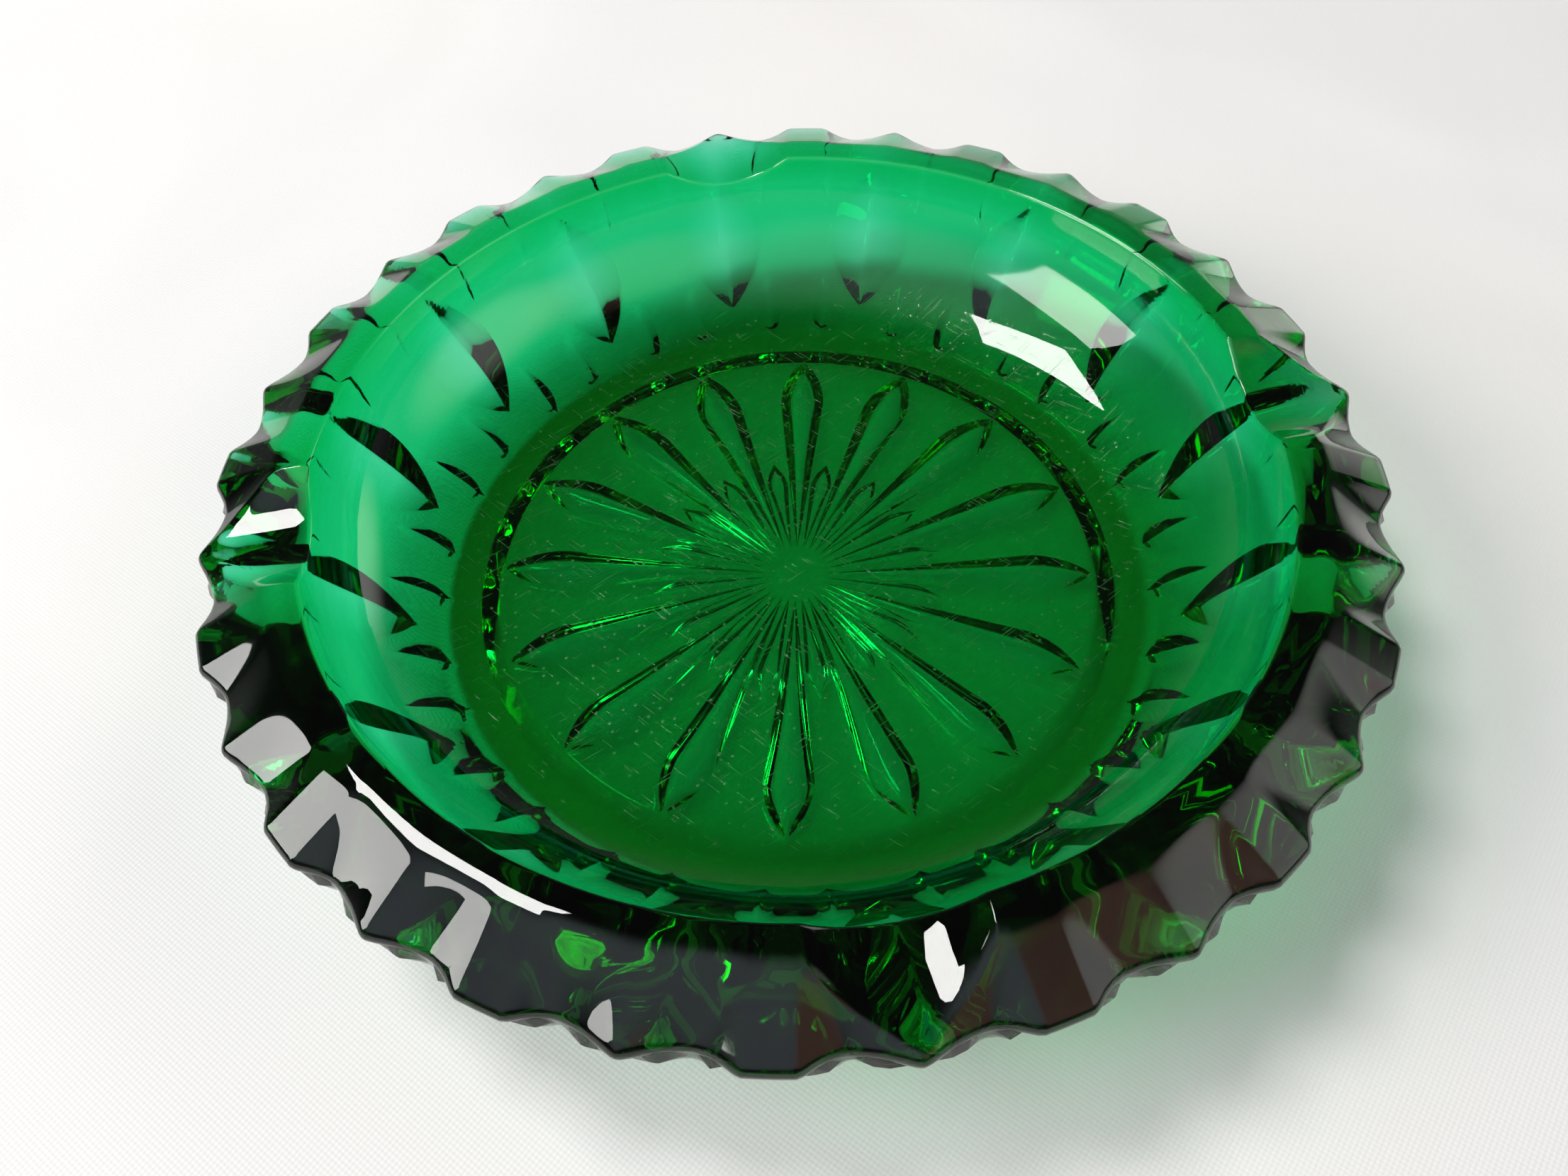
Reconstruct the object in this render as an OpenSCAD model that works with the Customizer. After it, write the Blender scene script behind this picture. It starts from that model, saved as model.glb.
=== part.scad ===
// Pressed-glass ashtray: a heavy round dish in one piece of glass.
// It has a scalloped rim with four cigarette rests, leaf-shaped cuts round the outside,
// and a sunburst of long and short flutes pressed into the underside of the base.
// Origin: middle of the foot, on the surface that it stands on. +Z is up. Millimetres.

/* [Overall] */
// Diameter over the tips of the scallops
rim_d = 170; // [164:1:190]
// Height from the foot to the flat land round the mouth
dish_h = 36; // [34:0.5:44]

/* [Bowl] */
// Depth of the bowl below the land
bowl_depth = 22; // [16:0.5:23]
// Diameter of the flat part of the floor
floor_d = 84; // [60:1:92]
// Radius that takes the sharpness off the edge of the mouth
mouth_edge_r = 0.8; // [0.4:0.1:1.5]

/* [Rim] */
// Width of the rim from the mouth to the tips of the scallops
rim_w = 15.5; // [14.5:0.5:18]
// Width of the flat land round the mouth
land_w = 4.6; // [3:0.2:6]
// Height that the rim falls from the land to the middle of the lip
rim_drop = 5.2; // [4:0.2:7]
// Radius of the rounded lip
lip_r = 1.5; // [1:0.1:2.2]

/* [Foot] */
// Outside diameter of the ring that the dish stands on
foot_d = 114; // [108:1:118]
// Width of that ring
foot_w = 4.5; // [3:0.5:5.5]
// Width of the slope between that ring and the star panel
step_w = 4.5; // [2:0.5:5]
// Radius of the heel between the foot and the wall
heel_r = 4; // [2:0.5:6]
// Height that the star panel is set up inside the foot
panel_rise = 2.2; // [1.5:0.1:3]

/* [Scallops] */
// Number of pointed scallops, with as many broad ones between them
scallop_pairs = 16; // [12:4:20]
// How far each notch between two scallops comes in from the tips
scallop_bite = 2.3; // [1.5:0.1:3]
// How far each valley between two scallops lies below the crests beside it, at the lip
valley_fall = 1.3; // [0.8:0.1:1.8]
// Radius of the round tools that leave the notches and the valleys
scallop_tool_r = 7; // [5:0.5:7.4]
// Angle from a pointed scallop to the notch beside it, as a share of the pitch
notch_share = 0.24; // [0.22:0.01:0.26]

/* [Rests] */
// Number of cigarette rests
rests = 4; // [2:1:4]
// Width of a rest where it leaves the mouth
rest_w = 21; // [16:0.5:24]
// Depth of a rest below the land
rest_depth = 3.8; // [3:0.2:5]

/* [Leaf cuts] */
// Length of a leaf cut up the wall
leaf_length = 31; // [26:0.5:33]
// Depth of a leaf cut at its middle
leaf_depth = 3.6; // [2:0.1:4]
// Half width of a leaf cut at its middle
leaf_half_w = 7.4; // [3:0.1:8]
// Height of the middle of a leaf cut
leaf_middle_z = 17; // [15.5:0.5:18]

/* [Small cuts] */
// Length of the small cuts at the heel, between the leaves
toe_length = 14; // [8:0.5:15]
// Depth of the small cuts at the heel
toe_depth = 1.3; // [0.8:0.1:2]
// Half width of the small cuts at the heel
toe_half_w = 2.2; // [1.5:0.1:3]
// Height of the middle of the small cuts
toe_middle_z = 4.5; // [4:0.5:7]

/* [Star] */
// Diameter over the tips of the long flutes
star_d = 95; // [80:1:96]
// Diameter over the tips of the short flutes
star_short_d = 46; // [35:1:55]
// Diameter of the plain eye in the middle
star_eye_d = 10; // [6:1:14]
// Width of a long flute near its outer end
long_flute_w = 7.7; // [5:0.1:8]
// Width of a short flute near its outer end
short_flute_w = 3.4; // [2:0.2:3.6]
// Depth of a flute, as a share of its width
flute_depth_share = 0.35; // [0.18:0.01:0.38]
// Length of the pointed outer end of a flute, as a share of its width
flute_tip_share = 1.3; // [0.6:0.1:1.6]

/* [Hidden] */
$fn = 96;

rim_r = rim_d / 2;
mouth_r = rim_r - rim_w;
floor_r = floor_d / 2;
foot_r = foot_d / 2;
floor_z = dish_h - bowl_depth;
land_r = mouth_r + land_w;
lip_mid = [rim_r - lip_r, dish_h - rim_drop];
heel_mid = [foot_r, heel_r];
pitch = 360 / scallop_pairs;
clear = 1;

// A point at a distance and an angle from a middle
function polar(middle, r, angle) = middle + r * [cos(angle), sin(angle)];

// Points along an arc
function arc(middle, r, from, to, steps) =
    [for (i = [0:steps]) polar(middle, r, from + (to - from) * i / steps)];

// Angle of the outward normal of the line that touches two circles on its right-hand side
function tangent_normal(mid_a, r_a, mid_b, r_b) =
    let (run = mid_b - mid_a)
    atan2(run[1], run[0]) - 90 + asin((r_a - r_b) / norm(run));

// The wall touches the heel below and the lip above, and the rim touches the lip from above
wall_normal = tangent_normal(heel_mid, heel_r, lip_mid, lip_r);
rim_run = [land_r, dish_h] - lip_mid;
rim_normal = atan2(rim_run[1], rim_run[0]) - acos(lip_r / norm(rim_run));

// Height of the crests of the rim at a radius
function crest_z(r) = dish_h - (r - land_r) / tan(rim_normal);

// Direction up the wall, in a radial plane, and the length of wall per unit of height
wall_up = [-sin(wall_normal), cos(wall_normal)];

// Radius of the wall's surface at a height
function wall_r(z) =
    let (start = polar(heel_mid, heel_r, wall_normal))
    start[0] + (z - start[1]) * wall_up[0] / wall_up[1];

// Half section of the bowl, from the middle of the floor to above the mouth
bowl_outline = concat(
    [[0, floor_z]],
    [for (i = [0:12])
        let (angle = 90 - 7.5 * i)
        [floor_r + (mouth_r - floor_r) * cos(angle), dish_h - bowl_depth * sin(angle)]],
    [[mouth_r, dish_h + clear], [0, dish_h + clear]]
);

// Half section of the dish as if it had no bowl
body_outline = concat(
    [[0, panel_rise], [foot_r - foot_w - step_w, panel_rise], [foot_r - foot_w, 0]],
    arc(heel_mid, heel_r, -90, wall_normal, 4),
    arc(lip_mid, lip_r, wall_normal, rim_normal, 6),
    [[land_r, dish_h], [0, dish_h]]
);

// Repeats its children at even angles round the axis
module around(count, first = 0) {
    for (i = [0:count - 1])
        rotate([0, 0, first + i * 360 / count]) children();
}

// Turned blank of the dish: body, bowl and the softened edge of the mouth
module blank() {
    difference() {
        rotate_extrude() polygon(body_outline);
        rotate_extrude() polygon(bowl_outline);
        mouth_chamfer();
    }
}

// Narrow cone that takes the corner off the mouth
module mouth_chamfer() {
    translate([0, 0, dish_h - mouth_edge_r])
        cylinder(h = mouth_edge_r + clear, r1 = mouth_r, r2 = mouth_r + mouth_edge_r + clear);
}

// Upright round tool that leaves one notch in the lip
module notch_tool() {
    translate([rim_r - scallop_bite + scallop_tool_r, 0, dish_h - 3 * rim_drop])
        cylinder(h = 4 * rim_drop, r = scallop_tool_r);
}

// Sloping round tool that leaves one valley, from near the land out over the lip
module valley_tool() {
    start = [land_r + clear, crest_z(land_r + clear)];
    end_r = rim_r - scallop_bite;
    end = [end_r, crest_z(end_r) - valley_fall];
    run = end - start;
    drop = atan2(run[1], run[0]);
    middle = start + scallop_tool_r * [-sin(drop), cos(drop)];
    translate([middle[0], 0, middle[1]])
        rotate([0, 90 - drop, 0])
            translate([0, 0, -3 * clear]) cylinder(h = norm(run) + 7 * clear, r = scallop_tool_r);
}

// Round tool that leaves one rest: a level trough from the bowl out to a scallop's tip
module rest_tool() {
    tool_r = (rest_w * rest_w / 4 + rest_depth * rest_depth) / (2 * rest_depth);
    translate([mouth_r - 3 * clear, 0, dish_h - rest_depth + tool_r])
        rotate([0, 90, 0]) cylinder(h = rim_r - mouth_r + 6 * clear, r = tool_r);
}

// V-edged wheel that leaves a leaf-shaped cut in the wall
module leaf_tool(length, depth, half_w, middle_z) {
    wheel_r = length * length / (8 * depth);
    edge = 2 * depth;
    spread = edge * half_w / depth;
    surface = [wall_r(middle_z), middle_z];
    middle = polar(surface, wheel_r - depth, wall_normal);
    translate([middle[0], 0, middle[1]])
        rotate([90, 0, 0])
            for (side = [0, 1])
                mirror([0, 0, side]) cylinder(h = spread, r1 = wheel_r, r2 = wheel_r - edge);
}

// V-shaped flute of the star: narrow at the eye, widest and deepest near its outer end
module flute_tool(tip_d, flute_w) {
    depth = flute_w * flute_depth_share;
    widest = tip_d / 2 - flute_w * flute_tip_share;
    grow = (depth + clear) / depth;
    start = widest + grow * (star_eye_d / 2 - widest);
    end = widest + grow * (tip_d / 2 - widest);
    half = grow * flute_w / 2;
    base = panel_rise - clear;
    polyhedron(
        points = [
            [start, 0, base], [widest, -half, base], [end, 0, base], [widest, half, base],
            [widest, 0, panel_rise + depth]],
        faces = [[0, 1, 2, 3], [0, 4, 1], [1, 4, 2], [2, 4, 3], [3, 4, 0]]);
}

// Blank with the sunburst pressed up into its underside
module starred_blank() {
    difference() {
        blank();
        around(scallop_pairs, pitch / 2) flute_tool(star_d, long_flute_w);
        around(scallop_pairs) flute_tool(star_short_d, short_flute_w);
    }
}

// The same with the leaves and the small cuts in its wall
module cut_dish() {
    difference() {
        starred_blank();
        around(scallop_pairs) leaf_tool(leaf_length, leaf_depth, leaf_half_w, leaf_middle_z);
        around(2 * scallop_pairs, pitch / 4) leaf_tool(toe_length, toe_depth, toe_half_w, toe_middle_z);
    }
}

// The same with notches in its lip
module notched_dish() {
    difference() {
        cut_dish();
        around(scallop_pairs, notch_share * pitch) notch_tool();
        around(scallop_pairs, -notch_share * pitch) notch_tool();
    }
}

// The same with a valley running in from each notch
module scalloped_dish() {
    difference() {
        notched_dish();
        around(scallop_pairs, notch_share * pitch) valley_tool();
        around(scallop_pairs, -notch_share * pitch) valley_tool();
    }
}

// The whole dish, all of it one piece of glass
module glass_ashtray() {
    color([0.0, 0.42, 0.2, 0.75])
        difference() {
            scalloped_dish();
            around(rests) rest_tool();
        }
}

glass_ashtray();
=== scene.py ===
"""Looks of a heavy pressed-glass ashtray: one piece of emerald glass on a white cloth."""

import math

import bpy
import numpy as np
from mathutils import Matrix, Vector


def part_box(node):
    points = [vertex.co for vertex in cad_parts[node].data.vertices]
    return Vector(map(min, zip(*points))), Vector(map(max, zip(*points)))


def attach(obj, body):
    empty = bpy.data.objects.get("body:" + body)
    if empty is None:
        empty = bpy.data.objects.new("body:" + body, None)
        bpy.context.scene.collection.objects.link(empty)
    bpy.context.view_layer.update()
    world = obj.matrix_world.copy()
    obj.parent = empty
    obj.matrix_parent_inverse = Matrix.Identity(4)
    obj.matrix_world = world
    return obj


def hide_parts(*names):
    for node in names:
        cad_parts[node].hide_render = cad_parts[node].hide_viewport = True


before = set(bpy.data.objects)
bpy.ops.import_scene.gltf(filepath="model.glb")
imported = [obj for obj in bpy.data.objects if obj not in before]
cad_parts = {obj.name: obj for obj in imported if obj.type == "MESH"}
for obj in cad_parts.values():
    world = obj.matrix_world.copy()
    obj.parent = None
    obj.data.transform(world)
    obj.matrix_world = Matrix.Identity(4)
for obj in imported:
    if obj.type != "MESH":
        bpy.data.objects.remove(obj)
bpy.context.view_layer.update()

# ---------------------------------------------------------------------------------------------
# Sizes in millimetres and angles in degrees. The overall sizes come from the frame, and most of
# the others repeat the part's own. The scene's own are the curves, depth and fan of the valleys,
# the turn of the leaves, the place of the small cuts, the ticks above them, the section and depth
# of the flutes, and the softness of the lines where surfaces cross.
# ---------------------------------------------------------------------------------------------
MM = 0.001
node_low, node_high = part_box("glass_ashtray")
RIM_R = (node_high.x - node_low.x) / 2 / MM
DISH_H = (node_high.z - node_low.z) / MM

# Bowl, rim, foot and the slope inside the foot
MOUTH_R = 69.5
BOWL_DEPTH = 22.0
FLOOR_R = 42.0
FLOOR_Z = DISH_H - BOWL_DEPTH
EDGE_R = 0.8
LAND_R = MOUTH_R + 4.6
RIM_DROP = 5.2
LIP_R = 1.5
FOOT_R = 57.0
FOOT_W = 4.5
STEP_W = 4.5
HEEL_R = 4.0
PANEL_RISE = 2.2

# Scallops: narrow ones at each multiple of the pitch, broad ones half-way between, and a valley
# between two. A valley lies further from the narrow one at the land than at the lip, by its fan.
PITCH = 22.5
HALF = PITCH / 2
NOTCH_AT = 0.24 * PITCH
NOTCH_FAN = 1.9
BITE = 2.3
NOTCH_FLARE = 4.0
VALLEY_FALL = 1.5
VALLEY_CURVE = 1.8
FALL_CURVE = 1.15
PLATEAU_HALF = 2.0
LIP_TURN = 8
LIP_UPRIGHT = 0.8

RESTS = 4
REST_W = 21.0
REST_DEPTH = 3.8

# Cuts in the wall, and how deep they may be on the heel, as a share of the height there
LEAF_TURN = 1.6
TOE_AT = 0.29 * PITCH
LEAF = {"length": 31.0, "depth": 3.6, "half_w": 7.4, "middle_z": 17.0}
TOE = {"length": 14.0, "depth": 1.3, "half_w": 2.2, "middle_z": 4.5}
TICK = {"length": 18.0, "depth": 0.9, "half_w": 1.5, "middle_z": 28.0}
MOST_OF_HEEL = 0.9

# Star. A flute's depth is a share of its width, its section is a power curve, and the depth is
# full where the flute is wider than the FLUTE_FLAT share of its greatest width.
STAR_R = 47.5
SHORT_R = 23.0
EYE_R = 5.0
LONG_W = 7.7
SHORT_W = 3.4
FLUTE_SHARE = 0.27
FLUTE_FLAT = 0.5
FLUTE_ROUND = 2.2
FLUTE_TIP = 1.3
LONG_WIDEST = STAR_R - LONG_W * FLUTE_TIP
SHORT_WIDEST = SHORT_R - SHORT_W * FLUTE_TIP

# Width of the rounding where two surfaces cross
CREST_SOFT = 0.5
MOUTH_SOFT = 0.35
REST_SOFT = 0.3
NOTCH_SOFT = 0.5
CUT_SOFT = 0.12
# The same as a share of the way into a valley, and as a share of a flute's width
VALLEY_SOFT = 0.1
FLUTE_SOFT = 0.15

# Stands in for no width, so that a division by it still works
NEARLY_NOTHING = 1e-6


# ---------------------------------------------------------------------------------------------
# Small helpers for surfaces
# ---------------------------------------------------------------------------------------------
def smooth_min(a, b, blend):
    """The lower of two values, rounded where they cross."""
    share = np.clip(0.5 + 0.5 * (b - a) / blend, 0, 1)
    return b + (a - b) * share - blend * share * (1 - share)


def mix(a, b, share):
    """A value between two others."""
    return a + (b - a) * share


def even_steps(count):
    """Evenly spaced shares that end with 1 and leave out 0."""
    return np.arange(1, count + 1) / count


def tangent_normal(mid_a, r_a, mid_b, r_b):
    """Angle of the outward normal of the line that touches two circles on its right-hand side."""
    run = np.subtract(mid_b, mid_a)
    return math.atan2(run[1], run[0]) - math.pi / 2 + math.asin((r_a - r_b) / np.hypot(*run))


LIP_MID = (RIM_R - LIP_R, DISH_H - RIM_DROP)
HEEL_MID = (FOOT_R, HEEL_R)
WALL_NORMAL = tangent_normal(HEEL_MID, HEEL_R, LIP_MID, LIP_R)
RIM_RUN = (LAND_R - LIP_MID[0], DISH_H - LIP_MID[1])
RIM_NORMAL = math.atan2(RIM_RUN[1], RIM_RUN[0]) - math.acos(LIP_R / math.hypot(*RIM_RUN))
WALL_LEAN = 1 / math.cos(WALL_NORMAL)
HEEL_TOP = (
    HEEL_MID[0] + HEEL_R * math.cos(WALL_NORMAL),
    HEEL_MID[1] + HEEL_R * math.sin(WALL_NORMAL),
)
REST_TOOL_R = (REST_W**2 / 4 + REST_DEPTH**2) / (2 * REST_DEPTH)


def wall_r(z):
    """Radius of the plain wall at a height."""
    return HEEL_TOP[0] - (z - HEEL_TOP[1]) * math.tan(WALL_NORMAL)


def crest_z(r):
    """Height of the rim at a radius, along the crest of a scallop."""
    slope = DISH_H - (r - LAND_R) / math.tan(RIM_NORMAL)
    return smooth_min(slope, np.full_like(slope, DISH_H), CREST_SOFT)


def from_narrow(degrees):
    """Angle to the nearest narrow scallop."""
    return np.abs((degrees + HALF) % PITCH - HALF)


def rest_offset(degrees):
    """Angle to the nearest rest."""
    step = 360 / RESTS
    return np.abs((degrees + step / 2) % step - step / 2)


def rest_z(r, degrees):
    """Height of the trough of the nearest rest."""
    aside = np.minimum(r * np.sin(np.radians(rest_offset(degrees))), REST_TOOL_R)
    return DISH_H - REST_DEPTH + REST_TOOL_R - np.sqrt(REST_TOOL_R**2 - aside**2)


def valley_at(out):
    """Angle from a narrow scallop to the valley beside it, from out = 0 at the land to 1 at the lip."""
    return NOTCH_AT + NOTCH_FAN * (1 - out)


def notch_share(degrees, out):
    """How deep in a valley a place on the rim is: 0 on a crest, 1 in the middle of the valley."""
    away = from_narrow(degrees)
    valley = valley_at(out)
    brow = HALF - PLATEAU_HALF
    into = np.where(away < valley, away / valley, np.clip((brow - away) / (brow - valley), 0, 1))
    soft = np.sqrt(into**2 + VALLEY_SOFT**2) - VALLEY_SOFT
    soft_end = math.sqrt(1 + VALLEY_SOFT**2) - VALLEY_SOFT
    return 1 - (1 - soft / soft_end) ** VALLEY_CURVE


def up_wall(z):
    """Distance up the wall from the top of the heel to a height."""
    return (z - HEEL_TOP[1]) * WALL_LEAN


def cut_half(up, cut):
    """Half width of a V-shaped lens cut, at a distance up the wall."""
    along = up - up_wall(cut["middle_z"])
    return np.maximum(cut["half_w"] * (1 - (2 * along / cut["length"]) ** 2), 0)


def cut_depth(up, aside, cut):
    """Depth of a V-shaped lens cut, square to the wall."""
    slope = cut["depth"] / cut["half_w"]
    flank = np.sqrt(aside**2 + CUT_SOFT**2) - CUT_SOFT
    return np.maximum((cut_half(up, cut) - flank) * slope, 0)


def all_cuts(up, degrees, r):
    """Depth of whichever cut of the wall lies deepest at each place."""
    away = from_narrow(degrees - LEAF_TURN)
    at_leaf = r * np.sin(np.radians(away))
    at_toe = r * np.sin(np.radians(away - TOE_AT))
    small = np.maximum(cut_depth(up, at_toe, TOE), cut_depth(up, at_toe, TICK))
    return np.maximum(cut_depth(up, at_leaf, LEAF), small)


def flute_half(r, tip_r, width):
    """Half width of a flute of the star at a radius."""
    widest = tip_r - width * FLUTE_TIP
    grow = np.clip((r - EYE_R) / (widest - EYE_R), 0, 1)
    past = np.clip((r - widest) / (tip_r - widest), 0, 1)
    return width / 2 * grow * (1 - past**2)


def flute_depth(r, away, tip_r, width):
    """Depth of a flute of the star at a radius and an angle from its middle line."""
    half = flute_half(r * np.cos(np.radians(away)), tip_r, width)
    aside = np.abs(r * np.sin(np.radians(away)))
    full = np.full_like(half, FLUTE_SHARE * width)
    middle = smooth_min(half * 2 * FLUTE_SHARE / (1 - FLUTE_FLAT), full, FLUTE_SOFT * width)
    share = np.clip(aside / np.maximum(half, NEARLY_NOTHING), 0, 1)
    return np.where(half > 0, np.maximum(middle, 0) * (1 - share**FLUTE_ROUND), 0)


# ---------------------------------------------------------------------------------------------
# The mesh of the dish: rows from the middle of the bowl, over the rim and down to the star.
# The columns of a row are bunched at its keys, the angles where its surface bends.
# ---------------------------------------------------------------------------------------------
SCALLOPS = round(360 / PITCH)
FRACTIONS = (0.0, 0.13, 0.38, 0.62, 0.87)

# Least angle from a middle line to a key beside it, least angles between two keys, and the most
# that the key at the edge of a short flute may be
LEAST_EDGE = 0.5
RIM_GAP = 0.7
WALL_GAP = 0.3
STAR_GAP = 0.4
SHORT_KEY_MOST = HALF * 0.45

# Radii of the rows of the floor, and distances of the rows of the land from the mouth's edge
FLOOR_RINGS = (4.0, 14.0, 24.0, 33.0, 39.0)
LAND_RINGS = (0.9, 1.9, 2.9)
SKIRT_START = 3.4

BOWL_STEPS = 24
EDGE_STEPS = 4
SKIRT_STEPS = 18
LIP_STEPS = 8
WALL_STEPS = 44
HEEL_STEPS = 6

# Share of the way down the wall where its keys start to turn from the lip's to the cuts', and
# the share over which they do
ENTER_FROM = 0.1
ENTER_OVER = 0.1

# Inner edge of the foot ring: width and height of its rounding, then how far in the first rows
# of the slope lie, and the shares of the plain slope's height that they have
FOOT_EDGE_W = 0.3
FOOT_EDGE_Z = 0.03
SLOPE_ROWS = ((0.4, 0.6), (0.9, 0.9))

# The rest of the slope: shares of its width and of its height, rounded where it meets the star
STEP_ROWS = ((0.45, 0.45), (0.7, 0.7), (0.85, 0.85), (0.93, 0.925), (1.0, 0.975), (1.05, 1.0))
STEP_END = FOOT_R - FOOT_W - STEP_W * STEP_ROWS[-1][0]

# Runs of rows under the star, from its tips to the eye: widest radius, narrowest radius and
# number of rows. Between two runs is a gap of about a row.
STAR_RUNS = (
    (min(STAR_R, STEP_END - 0.3), LONG_WIDEST, 12),
    (LONG_WIDEST - 1.6, SHORT_R + 1, 12),
    (SHORT_R + 0.2, SHORT_WIDEST, 6),
    (SHORT_WIDEST - 1.3, EYE_R, 12),
    (3.2, 1.4, 2),
)


def half_sector(keys):
    """Angles of the columns from a narrow scallop to a broad one, bunched at the keys of each row."""
    columns = []
    for left, right in zip(keys[:-1], keys[1:]):
        columns += [mix(left, right, share) for share in FRACTIONS]
    return np.stack(columns, axis=1)


def ring_of(keys_plain, keys_rest):
    """Angles of all columns round the dish, for each row."""
    apart = round(SCALLOPS / RESTS)
    parts = []
    for number in range(SCALLOPS):
        at_rest = number % apart == 0
        next_rest = (number + 1) % apart == 0
        rising = half_sector(keys_rest if at_rest else keys_plain)
        falling = half_sector(keys_rest if next_rest else keys_plain)
        middle = np.full((rising.shape[0], 1), HALF)
        back = PITCH - falling[:, :0:-1]
        parts.append(np.concatenate([rising, middle, back], axis=1) + number * PITCH)
    return np.concatenate(parts, axis=1)


def keys_for(rows, *keys):
    """One array of key angles per key, for as many rows as asked."""
    return [np.full(rows, key, float) if np.isscalar(key) else np.asarray(key, float) for key in keys]


def rest_edge(r):
    """Angle from the middle of a rest to its edge at a radius."""
    drop = np.clip(crest_z(r) - (DISH_H - REST_DEPTH), 0, None)
    half = np.sqrt(np.maximum(REST_TOOL_R**2 - (REST_TOOL_R - drop) ** 2, 0))
    return np.degrees(np.arcsin(half / r))


def rim_keys(r, out):
    """Keys of the rows of the land and the skirt: edge of the rest, valley and brow of the plateau."""
    valley = valley_at(out)
    brow = np.full_like(r, HALF - PLATEAU_HALF)
    plain = keys_for(len(r), 0, valley / 2, valley, brow, HALF)
    edge = np.maximum(rest_edge(r), LEAST_EDGE)
    valley_past = np.maximum(valley, edge + RIM_GAP)
    brow_past = np.maximum(brow, valley_past + RIM_GAP)
    return plain, keys_for(len(r), 0, edge, valley_past, brow_past, HALF)


def bowl_rows():
    """Floor and wall of the bowl, up to the edge of the mouth."""
    ring = ring_of(*rim_keys(np.array([MOUTH_R]), np.zeros(1)))
    floor_r = np.repeat(np.array(FLOOR_RINGS)[:, None], ring.shape[1], axis=1)
    floor_z = np.full_like(floor_r, FLOOR_Z)

    top = smooth_min(rest_z(MOUTH_R, ring), np.full_like(ring, DISH_H), MOUTH_SOFT)
    lift = np.arccos((DISH_H - (top - EDGE_R)) / BOWL_DEPTH)
    turn = lift * (np.arange(BOWL_STEPS + 1) / BOWL_STEPS)[:, None]
    side_r = FLOOR_R + (MOUTH_R - FLOOR_R) * np.sin(turn)
    side_z = DISH_H - BOWL_DEPTH * np.cos(turn)

    angle = (even_steps(EDGE_STEPS) * math.pi / 2)[:, None]
    edge_r = side_r[-1] + EDGE_R * (1 - np.cos(angle))
    edge_z = side_z[-1] + EDGE_R * np.sin(angle)
    r = np.concatenate([floor_r, side_r, edge_r])
    z = np.concatenate([floor_z, side_z, edge_z])
    return np.repeat(ring, len(r), axis=0), r, z


def lip_places(degrees):
    """Middle of the lip's rounding, the angles where it starts and ends, and the share of a notch."""
    notch = notch_share(degrees, 1.0)
    start = RIM_NORMAL - math.radians(LIP_TURN) * notch
    end = WALL_NORMAL * (1 - LIP_UPRIGHT * notch)
    middle_r = RIM_R - LIP_R - BITE * notch
    edge_r = middle_r + LIP_R * np.cos(start)
    middle_z = crest_z(edge_r) - VALLEY_FALL * notch - LIP_R * np.sin(start)
    return middle_r, middle_z, start, end, notch


def rim_rows():
    """Land, scalloped skirt and rounded lip."""
    inner = MOUTH_R + EDGE_R
    land = inner + np.array(LAND_RINGS)
    skirt_from = inner + SKIRT_START
    out = np.concatenate([np.zeros(len(land)), even_steps(SKIRT_STEPS)])
    rough_r = np.concatenate([land, mix(skirt_from, RIM_R - LIP_R, out[len(land):])])
    ring = ring_of(*rim_keys(rough_r, out))
    middle_r, _, start, _, _ = lip_places(ring)
    end_r = middle_r + LIP_R * np.cos(start)
    share = out[:, None]
    r = np.where(share > 0, mix(skirt_from, end_r, share), rough_r[:, None])
    z = crest_z(r) - VALLEY_FALL * share**FALL_CURVE * notch_share(ring, share)
    z = smooth_min(z, rest_z(r, ring), REST_SOFT)

    last = ring[-1:]
    middle_r, middle_z, start, end, _ = lip_places(last)
    turn = mix(start, end, even_steps(LIP_STEPS)[:, None])
    lip_ring = np.repeat(last, LIP_STEPS, axis=0)
    lip_r = middle_r + LIP_R * np.cos(turn)
    lip_z = middle_z + LIP_R * np.sin(turn)
    lip_z = smooth_min(lip_z, rest_z(lip_r, lip_ring), REST_SOFT)
    return (
        np.concatenate([ring, lip_ring]),
        np.concatenate([r, lip_r]),
        np.concatenate([z, lip_z]),
    )


def wall_keys(up, r, enter):
    """Keys of the rows of the wall: edge of the leaf, middle and outer edge of the small cuts.

    They are still the lip's where enter is 0, and the wall's own where it is 1.
    """
    leaf = np.degrees(cut_half(up, LEAF) / r)
    leaf = np.clip(leaf, LEAST_EDGE, TOE_AT - WALL_GAP)
    small = np.degrees(np.maximum(cut_half(up, TOE), cut_half(up, TICK)) / r)
    small = TOE_AT + np.clip(small, LEAST_EDGE, HALF / 4)
    second = mix(NOTCH_AT, TOE_AT, enter)
    third = mix(HALF - PLATEAU_HALF, small, enter)
    return tuple(
        keys_for(len(up), 0, mix(first, leaf, enter), second, third, HALF)
        for first in (NOTCH_AT / 2, LEAST_EDGE)
    )


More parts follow.
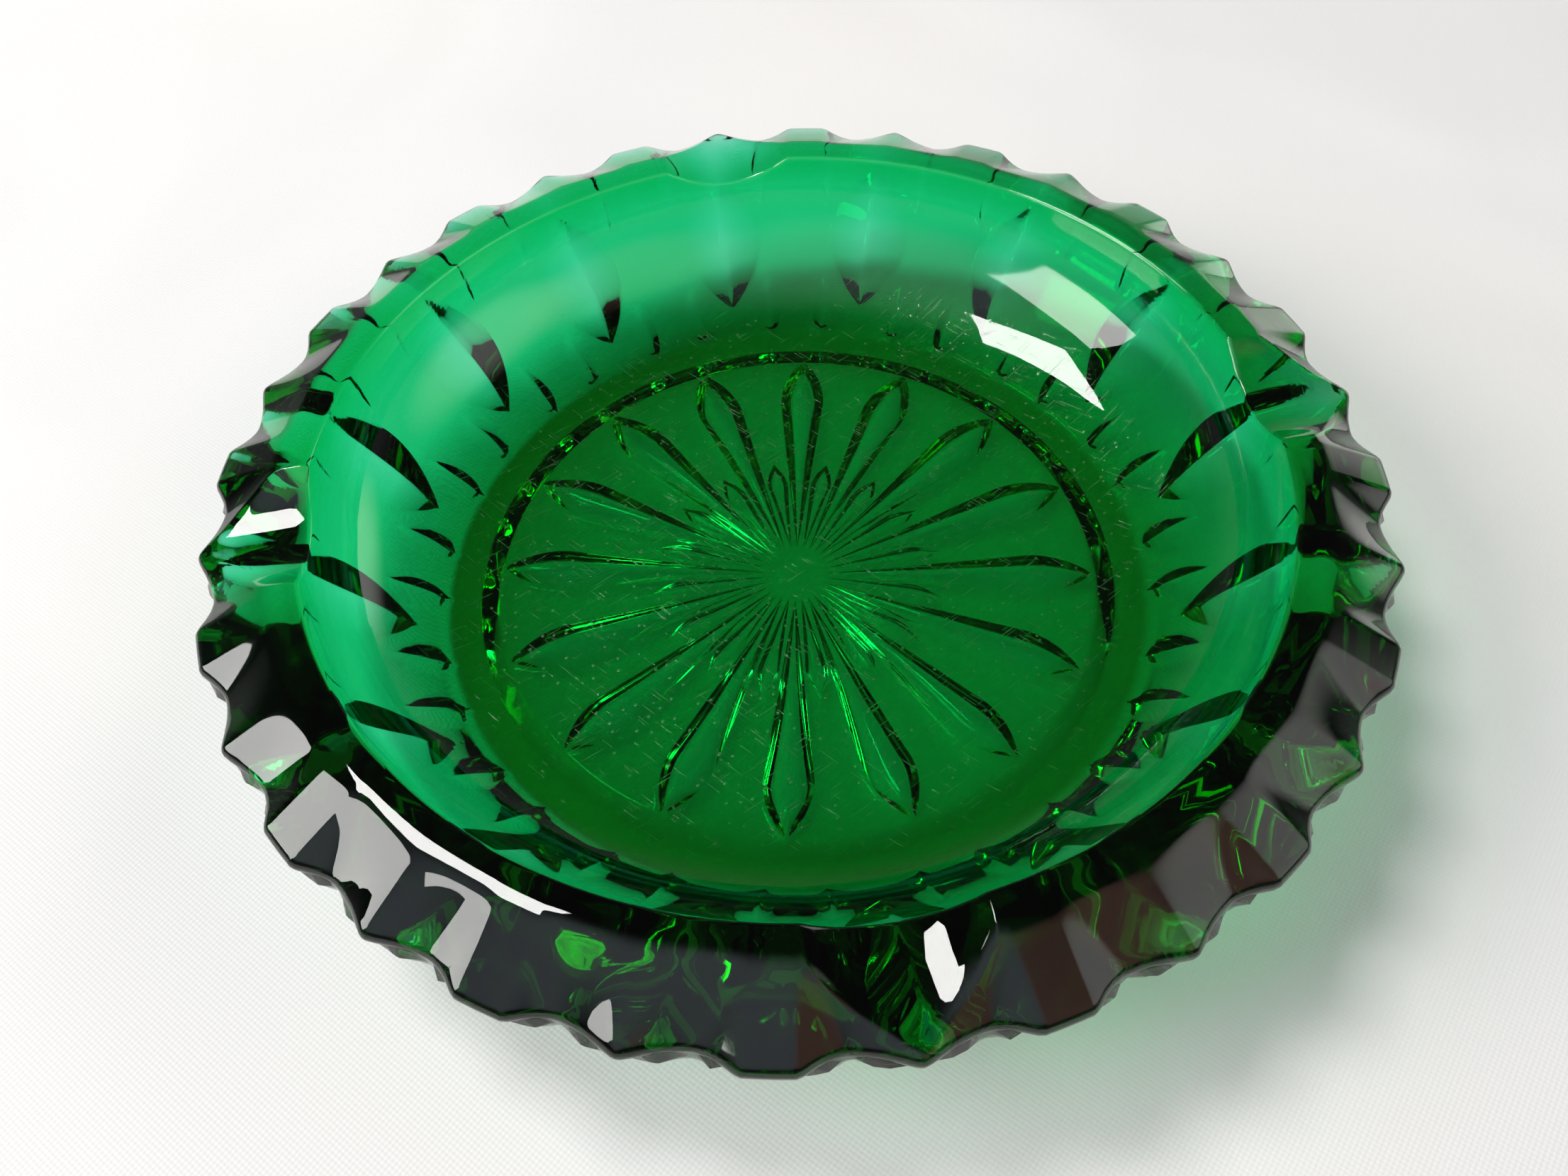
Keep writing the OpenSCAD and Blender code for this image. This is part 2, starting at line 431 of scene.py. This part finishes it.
def wall_rows():
    """Wall with its leaves and small cuts, down to the top of the heel."""
    share = even_steps(WALL_STEPS)
    top_z = LIP_MID[1] + LIP_R * math.sin(WALL_NORMAL)
    rough_z = mix(top_z, HEEL_TOP[1], share)
    enter = np.clip((share - ENTER_FROM) / ENTER_OVER, 0, 1)
    keys = wall_keys(up_wall(rough_z), wall_r(rough_z), enter)
    ring = ring_of(*keys) + LEAF_TURN * enter[:, None]
    middle_r, middle_z, _, end, notch = lip_places(ring)
    start_z = middle_z + LIP_R * np.sin(end)
    start_r = middle_r + LIP_R * np.cos(end)
    z = mix(start_z, HEEL_TOP[1], share[:, None])
    notch_r = start_r + NOTCH_FLARE * (1 - notch)
    plain_r = smooth_min(wall_r(z), notch_r, NOTCH_SOFT)
    cut = all_cuts(up_wall(z), ring, plain_r)
    return ring, np.minimum(plain_r, wall_r(z) - cut * WALL_LEAN), z


def heel_rows():
    """Heel with the lower ends of the cuts, the foot ring and the first of the slope inside it."""
    turn = mix(WALL_NORMAL, -math.pi / 2, even_steps(HEEL_STEPS))
    up = HEEL_R * (turn - WALL_NORMAL)
    plain_r = HEEL_MID[0] + HEEL_R * np.cos(turn)
    plain_z = HEEL_MID[1] + HEEL_R * np.sin(turn)
    heel_keys = wall_keys(up, plain_r, np.ones(HEEL_STEPS))
    heel_ring = ring_of(*heel_keys) + LEAF_TURN
    cut = all_cuts(up[:, None], heel_ring, plain_r[:, None])
    cut = np.minimum(cut, np.maximum(plain_z[:, None] * MOST_OF_HEEL, 0))
    heel_r = plain_r[:, None] - cut * np.cos(turn)[:, None]
    heel_z = plain_z[:, None] - cut * np.sin(turn)[:, None]

    inner = FOOT_R - FOOT_W
    slope = PANEL_RISE / STEP_W
    past, risen = np.array(SLOPE_ROWS).T
    foot_r = np.concatenate([[FOOT_R - FOOT_W / 2, inner + FOOT_EDGE_W, inner], inner - past])
    foot_z = np.concatenate([[0, 0, FOOT_EDGE_Z], past * slope * risen])
    fade = even_steps(len(foot_r))
    first, second, third = (key[-1] for key in heel_keys[0][1:4])
    foot_keys = keys_for(
        len(foot_r),
        0,
        mix(first, HALF / 4, fade),
        mix(second, HALF / 2, fade),
        mix(third, HALF * 3 / 4, fade),
        HALF,
    )
    foot_ring = ring_of(foot_keys, foot_keys) + LEAF_TURN * (1 - fade)[:, None]
    shape = foot_ring.shape
    return (
        np.concatenate([heel_ring, foot_ring]),
        np.concatenate([heel_r, np.broadcast_to(foot_r[:, None], shape)]),
        np.concatenate([heel_z, np.broadcast_to(foot_z[:, None], shape)]),
    )


def panel_rows():
    """Underside inside the foot: the step, the star and the eye."""
    inward, risen = np.array(STEP_ROWS).T
    panel = np.concatenate([np.linspace(*run) for run in STAR_RUNS])
    row_r = np.concatenate([FOOT_R - FOOT_W - STEP_W * inward, panel])
    base = np.concatenate([PANEL_RISE * risen, np.full(len(panel), PANEL_RISE)])[:, None]
    long_half = np.degrees(flute_half(row_r, STAR_R, LONG_W) / row_r)
    short_half = np.degrees(flute_half(row_r, SHORT_R, SHORT_W) / row_r)
    first = np.clip(short_half, LEAST_EDGE, SHORT_KEY_MOST)
    second = np.clip(HALF - long_half, first + STAR_GAP, HALF - LEAST_EDGE)
    keys = keys_for(len(row_r), 0, first, second, (second + HALF) / 2, HALF)
    ring = ring_of(keys, keys)
    r = np.broadcast_to(row_r[:, None], ring.shape)
    away = from_narrow(ring)
    flutes = np.maximum(
        flute_depth(r, HALF - away, STAR_R, LONG_W),
        flute_depth(r, away, SHORT_R, SHORT_W),
    )
    return ring, r, base + flutes


def dish_mesh():
    """Closed mesh of the whole dish, in metres."""
    groups = [bowl_rows(), rim_rows(), wall_rows(), heel_rows(), panel_rows()]
    degrees, r, z = (np.concatenate(parts) for parts in zip(*groups))
    angle = np.radians(degrees)
    r = r * MM
    z = z * MM
    rows, columns = r.shape
    grid = np.stack([r * np.cos(angle), r * np.sin(angle), z], axis=-1).reshape(-1, 3)
    poles = np.array([[0, 0, FLOOR_Z], [0, 0, PANEL_RISE]]) * MM
    points = np.concatenate([grid, poles])
    top, bottom = len(grid), len(grid) + 1

    faces = []
    for row in range(rows - 1):
        for column in range(columns):
            after = (column + 1) % columns
            faces.append((
                row * columns + column,
                (row + 1) * columns + column,
                (row + 1) * columns + after,
                row * columns + after,
            ))
    last = (rows - 1) * columns
    for column in range(columns):
        after = (column + 1) % columns
        faces.append((top, column, after))
        faces.append((bottom, last + after, last + column))
    mesh = bpy.data.meshes.new("ashtray_glass")
    mesh.from_pydata(points.tolist(), [], faces)
    mesh.validate()
    mesh.shade_smooth()
    return mesh


# ---------------------------------------------------------------------------------------------
# Materials. Patterns are laid out in millimetres, and heights of bumps are in millimetres too.
# ---------------------------------------------------------------------------------------------
CLEAR = (1, 1, 1, 1)
GLASS_IOR = 1.52
GLASS_TINT = (0.0, 0.895, 0.66, 1)
GLASS_DENSITY = 380.0

# Scratches: degrees from X, length and width in mm, and the noise above which one shows
SCRATCH_LAYERS = (
    (28, 6.0, 0.22, 0.81),
    (131, 5.0, 0.2, 0.82),
)
SCRATCH_EDGE = 0.05
SCRATCH_WANDER = 0.15

# Specks: cells per mm, distances from a cell's point, in cells, where its speck ends and is
# full, and the random number over which a cell has one
SPECKS_PER_MM = 0.55
SPECK_END = 0.16
SPECK_FULL = 0.08
SPECK_DRAW = 0.8

# Scratches and specks show above the underside and within the bowl, and scuffs at the foot only
MARKS_FROM_Z = FLOOR_Z - 5
MARKS_FULL_Z = FLOOR_Z - 2
MARKS_FROM_R = MOUTH_R - 5
MARKS_FULL_R = FLOOR_R + 4
SCUFFS_FROM_Z = 0.4
SCUFFS_FULL_Z = 0.02

# Film: scale of its noise, and the range of that over which the roughness goes from low to high
FILM_PER_MM = 0.035
FILM_RANGE = (0.45, 0.75)
FILM_ROUGHNESS = (0.012, 0.07)
SCUFF_ROUGHNESS = 0.25
MARK_ROUGHNESS = 0.45
MARK_HEIGHT = 0.02
WAVES_PER_MM = 0.07
WAVE_HEIGHT = 0.1

CLOTH_ROUGHNESS = 0.9
CLOTH_SHEEN = 0.1
CLOTH_TINTS = {"A": (0.88, 0.87, 0.855, 1), "B": (0.85, 0.85, 0.85, 1)}
TINTS_PER_MM = 0.006
TINT_RANGE = (0.35, 0.65)
THREAD = 0.9
THREAD_HEIGHT = 0.02
FOLDS_PER_MM = 0.012
FOLD_WANDER = 0.4
FOLD_HEIGHT = 3.0


def new_material(name):
    """Material with a Principled shader: it, its nodes and links, the shader and the output."""
    material = bpy.data.materials.new(name)
    material.use_nodes = True
    nodes, links = material.node_tree.nodes, material.node_tree.links
    nodes.clear()
    output = nodes.new("ShaderNodeOutputMaterial")
    shader = nodes.new("ShaderNodeBsdfPrincipled")
    links.new(shader.outputs["BSDF"], output.inputs["Surface"])
    return material, nodes, links, shader, output


def math_node(nodes, links, operation, *values):
    """Output of a Math node whose inputs are sockets or numbers."""
    node = nodes.new("ShaderNodeMath")
    node.operation = operation
    for socket, value in zip(node.inputs, values):
        if isinstance(value, (int, float)):
            socket.default_value = value
        else:
            links.new(value, socket)
    return node.outputs["Value"]


def remap(nodes, links, value, low, high, to_low=0.0, to_high=1.0):
    """A value eased from one range to another, and held at its ends."""
    node = nodes.new("ShaderNodeMapRange")
    node.interpolation_type = "SMOOTHSTEP"
    links.new(value, node.inputs["Value"])
    for name, number in (("From Min", low), ("From Max", high), ("To Min", to_low), ("To Max", to_high)):
        node.inputs[name].default_value = number
    return node.outputs["Result"]


def separate(nodes, links, vector):
    """The X, Y and Z outputs of a vector."""
    parts = nodes.new("ShaderNodeSeparateXYZ")
    links.new(vector, parts.inputs["Vector"])
    return parts.outputs


def millimetres(nodes, links):
    """Place on the object, in millimetres."""
    place = nodes.new("ShaderNodeTexCoord")
    scale = nodes.new("ShaderNodeMapping")
    scale.inputs["Scale"].default_value = (1 / MM, 1 / MM, 1 / MM)
    links.new(place.outputs["Object"], scale.inputs["Vector"])
    return scale.outputs["Vector"]


def noise(nodes, links, place, per_mm, detail, distortion=0.0):
    """Soft noise over X and Y."""
    node = nodes.new("ShaderNodeTexNoise")
    node.noise_dimensions = "2D"
    node.inputs["Scale"].default_value = per_mm
    node.inputs["Detail"].default_value = detail
    node.inputs["Distortion"].default_value = distortion
    links.new(place, node.inputs["Vector"])
    return node.outputs["Fac"]


def add_bump(nodes, links, height, shader):
    """Bumps on a shader, from a height in millimetres."""
    bump = nodes.new("ShaderNodeBump")
    bump.inputs["Distance"].default_value = MM
    links.new(height, bump.inputs["Height"])
    links.new(bump.outputs["Normal"], shader.inputs["Normal"])


def scratches(nodes, links, place):
    """Fine scratches: long streaks of noise in two directions, where the noise is highest."""
    total = None
    for turn, along, across, least in SCRATCH_LAYERS:
        layout = nodes.new("ShaderNodeMapping")
        layout.vector_type = "TEXTURE"
        layout.inputs["Rotation"].default_value = (0, 0, math.radians(turn))
        layout.inputs["Scale"].default_value = (along, across, 1)
        links.new(place, layout.inputs["Vector"])
        streak = noise(nodes, links, layout.outputs["Vector"], 1, 0, SCRATCH_WANDER)
        streak = remap(nodes, links, streak, least, least + SCRATCH_EDGE)
        total = streak if total is None else math_node(nodes, links, "MAXIMUM", total, streak)
    return total


def dust(nodes, links, place):
    """Sparse specks of dust and lint, each in its own cell of a fine pattern."""
    cells = nodes.new("ShaderNodeTexVoronoi")
    cells.voronoi_dimensions = "2D"
    cells.inputs["Scale"].default_value = SPECKS_PER_MM
    links.new(place, cells.inputs["Vector"])
    near = remap(nodes, links, cells.outputs["Distance"], SPECK_END, SPECK_FULL)
    pick = nodes.new("ShaderNodeSeparateColor")
    links.new(cells.outputs["Color"], pick.inputs["Color"])
    chosen = math_node(nodes, links, "GREATER_THAN", pick.outputs["Red"], SPECK_DRAW)
    return math_node(nodes, links, "MULTIPLY", near, chosen)


def inside_bowl(nodes, links, parts):
    """1 in the bowl, and 0 on the rim, the wall and the underside."""
    flat = nodes.new("ShaderNodeCombineXYZ")
    for axis in "XY":
        links.new(parts[axis], flat.inputs[axis])
    from_axis = nodes.new("ShaderNodeVectorMath")
    from_axis.operation = "LENGTH"
    links.new(flat.outputs["Vector"], from_axis.inputs[0])
    above = remap(nodes, links, parts["Z"], MARKS_FROM_Z, MARKS_FULL_Z)
    within = remap(nodes, links, from_axis.outputs["Value"], MARKS_FROM_R, MARKS_FULL_R)
    return math_node(nodes, links, "MULTIPLY", above, within)


def glass_material():
    """Fire-polished emerald glass: faintly wavy, scratched inside, dusty, and scuffed on its foot."""
    material, nodes, links, shader, output = new_material("emerald_glass")
    shader.inputs["Base Color"].default_value = CLEAR
    shader.inputs["Transmission Weight"].default_value = 1.0
    shader.inputs["IOR"].default_value = GLASS_IOR
    absorb = nodes.new("ShaderNodeVolumeAbsorption")
    absorb.inputs["Color"].default_value = GLASS_TINT
    absorb.inputs["Density"].default_value = GLASS_DENSITY
    links.new(absorb.outputs["Volume"], output.inputs["Volume"])

    place = millimetres(nodes, links)
    parts = separate(nodes, links, place)
    inside = inside_bowl(nodes, links, parts)
    scratch = math_node(nodes, links, "MULTIPLY", scratches(nodes, links, place), inside)
    specks = math_node(nodes, links, "MULTIPLY", dust(nodes, links, place), inside)
    marks = math_node(nodes, links, "MAXIMUM", scratch, specks)

    film = noise(nodes, links, place, FILM_PER_MM, 1)
    film = remap(nodes, links, film, *FILM_RANGE, *FILM_ROUGHNESS)
    foot = remap(nodes, links, parts["Z"], SCUFFS_FROM_Z, SCUFFS_FULL_Z)
    scuffs = math_node(nodes, links, "MULTIPLY", foot, SCUFF_ROUGHNESS)
    rough = math_node(nodes, links, "MAXIMUM", film, scuffs)
    rough = math_node(nodes, links, "MULTIPLY_ADD", marks, MARK_ROUGHNESS, rough)
    links.new(rough, shader.inputs["Roughness"])

    waves = noise(nodes, links, place, WAVES_PER_MM, 0)
    waves = math_node(nodes, links, "MULTIPLY", waves, WAVE_HEIGHT)
    height = math_node(nodes, links, "MULTIPLY_ADD", marks, MARK_HEIGHT, waves)
    add_bump(nodes, links, height, shader)
    return material


def floor_material():
    """White cotton cloth: a fine plain weave, a few soft folds and a little unevenness of tint."""
    material, nodes, links, shader, _ = new_material("white_cloth")
    shader.inputs["Roughness"].default_value = CLOTH_ROUGHNESS
    shader.inputs["Sheen Weight"].default_value = CLOTH_SHEEN

    place = millimetres(nodes, links)
    parts = separate(nodes, links, place)
    threads = []
    for axis in "XY":
        turns = math_node(nodes, links, "MULTIPLY", parts[axis], 2 * math.pi / THREAD)
        threads.append(math_node(nodes, links, "SINE", turns))
    weave = math_node(nodes, links, "MULTIPLY", *threads)
    weave = math_node(nodes, links, "MULTIPLY", weave, THREAD_HEIGHT)
    folds = noise(nodes, links, place, FOLDS_PER_MM, 1, FOLD_WANDER)
    folds = math_node(nodes, links, "MULTIPLY", folds, FOLD_HEIGHT)
    height = math_node(nodes, links, "ADD", weave, folds)
    add_bump(nodes, links, height, shader)

    tint = nodes.new("ShaderNodeMix")
    tint.data_type = "RGBA"
    for name, colour in CLOTH_TINTS.items():
        tint.inputs[name].default_value = colour
    share = remap(nodes, links, noise(nodes, links, place, TINTS_PER_MM, 2), *TINT_RANGE)
    links.new(share, tint.inputs["Factor"])
    links.new(tint.outputs["Result"], shader.inputs["Base Color"])
    return material


# ---------------------------------------------------------------------------------------------
# Stage, lights and camera, in metres
# ---------------------------------------------------------------------------------------------
FLOOR_HALF = 2.5
FLOOR_GAP = 0.0001

DAYLIGHT = (1.0, 0.99, 0.97)
LAMP_DISTANCE = 1.6

# The room has the first light where a direction's Z is over the first number, and the second
# where it is under the second
ROOM_TINT = (0.97, 0.98, 1.0)
ROOM_Z = (0.4, 0.1)
ROOM_LIGHT = (0.04, 0.2)

# Soft patches: azimuth, elevation, angles where they are full and where they end, and light
ROOM_PATCHES = (
    (228, 60, 8, 42, (0.62, 0.7, 0.78)),  # cool ceiling
    (-15, 30, 8, 26, (1.5, 1.48, 1.42)),  # pale curtain
    (-52, 45, 5, 28, (0.7, 0.36, 0.3)),  # warm corner
    (36, 6, 4, 16, (2.0, 1.96, 1.9)),  # pale wall
)

CAMERA_AT = (-0.01677, -0.12087, 0.16912)
CAMERA_TO = (0, 0, 0.00965)
CAMERA_TURN = (("X", -1.066), ("Y", 0.579), ("Z", -2.125))
LENS = 28.88
SENSOR = 36
NEAREST = 0.005
FURTHEST = 20

# Light crosses many faces of the glass before it leaves
GLASS_BOUNCES = 16
GLOSSY_BOUNCES = 8


def toward(azimuth, elevation):
    """Unit vector from the dish toward a place in the room."""
    azimuth, elevation = math.radians(azimuth), math.radians(elevation)
    level = math.cos(elevation)
    return Vector((math.cos(azimuth) * level, math.sin(azimuth) * level, math.sin(elevation)))


def make_floor():
    """Cloth under the dish, just below its foot."""
    mesh = bpy.data.meshes.new("floor")
    sides = ((-1, -1), (1, -1), (1, 1), (-1, 1))
    mesh.from_pydata([(x * FLOOR_HALF, y * FLOOR_HALF, 0) for x, y in sides], [], [(0, 1, 2, 3)])
    floor = bpy.data.objects.new("floor", mesh)
    bpy.context.scene.collection.objects.link(floor)
    floor.location.z = -FLOOR_GAP
    mesh.materials.append(floor_material())


def area_light(name, azimuth, elevation, width, height, watts):
    """Rectangular daylight lamp that faces the dish."""
    data = bpy.data.lights.new(name, "AREA")
    data.shape = "RECTANGLE"
    data.size = width
    data.size_y = height
    data.energy = watts
    data.color = DAYLIGHT
    lamp = bpy.data.objects.new(name, data)
    away = toward(azimuth, elevation)
    lamp.location = away * LAMP_DISTANCE
    lamp.rotation_mode = "QUATERNION"
    lamp.rotation_quaternion = away.to_track_quat("Z", "Y")
    bpy.context.scene.collection.objects.link(lamp)


def scaled(nodes, links, colour, share):
    """A colour times a share."""
    light = nodes.new("ShaderNodeVectorMath")
    light.operation = "SCALE"
    light.inputs[0].default_value = colour
    links.new(share, light.inputs["Scale"])
    return light.outputs["Vector"]


def soft_patch(nodes, links, direction, azimuth, elevation, inner, outer, colour):
    """Light from a soft round patch of the surroundings, full inside one angle and none past another."""
    facing = nodes.new("ShaderNodeVectorMath")
    facing.operation = "DOT_PRODUCT"
    facing.inputs[1].default_value = toward(azimuth, elevation)
    links.new(direction, facing.inputs[0])
    end, full = math.cos(math.radians(outer)), math.cos(math.radians(inner))
    return scaled(nodes, links, colour, remap(nodes, links, facing.outputs["Value"], end, full))


def make_world():
    """Dim room with a pale horizon and soft patches of light."""
    world = bpy.data.worlds.new("world")
    world.use_nodes = True
    nodes, links = world.node_tree.nodes, world.node_tree.links
    direction = nodes.new("ShaderNodeTexCoord").outputs["Generated"]
    height = separate(nodes, links, direction)["Z"]
    horizon = remap(nodes, links, height, *ROOM_Z, *ROOM_LIGHT)
    total = scaled(nodes, links, ROOM_TINT, horizon)
    for patch in ROOM_PATCHES:
        both = nodes.new("ShaderNodeVectorMath")
        both.operation = "ADD"
        links.new(total, both.inputs[0])
        links.new(soft_patch(nodes, links, direction, *patch), both.inputs[1])
        total = both.outputs["Vector"]
    links.new(total, nodes["Background"].inputs["Color"])
    bpy.context.scene.world = world


def make_lights():
    """A window on the left, and a smaller one higher up and further back."""
    area_light("window", azimuth=183, elevation=34, width=0.75, height=0.8, watts=17)
    area_light("roof_window", azimuth=146, elevation=64, width=0.4, height=0.45, watts=11.5)


def make_camera():
    """Camera above the front of the dish and a little to its left, looking down into it."""
    camera = bpy.data.cameras.new("camera")
    camera.sensor_width = SENSOR
    camera.lens = LENS
    camera.clip_start = NEAREST
    camera.clip_end = FURTHEST
    rig = bpy.data.objects.new("camera", camera)
    bpy.context.scene.collection.objects.link(rig)
    bpy.context.scene.camera = rig
    rig.location = CAMERA_AT
    look = (Vector(CAMERA_TO) - Vector(CAMERA_AT)).normalized()
    side = look.cross(Vector((0, 0, 1))).normalized()
    up = side.cross(look)
    aim = Matrix((side, up, -look)).transposed()
    turn = Matrix.Identity(3)
    for axis, degrees in CAMERA_TURN:
        turn = turn @ Matrix.Rotation(math.radians(degrees), 3, axis)
    rig.rotation_mode = "QUATERNION"
    rig.rotation_quaternion = (aim @ turn).to_quaternion()


def make_dish():
    """The glass dish, in place of the CAD node."""
    mesh = dish_mesh()
    mesh.materials.append(glass_material())
    dish = bpy.data.objects.new("glass_dish", mesh)
    bpy.context.scene.collection.objects.link(dish)
    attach(dish, "root")
    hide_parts("glass_ashtray")


make_camera()
make_floor()
make_lights()
make_world()
make_dish()

scene = bpy.context.scene
scene.view_settings.view_transform = "Standard"
scene.cycles.max_bounces = GLASS_BOUNCES
scene.cycles.transmission_bounces = GLASS_BOUNCES
scene.cycles.glossy_bounces = GLOSSY_BOUNCES

bpy.context.view_layer.update()
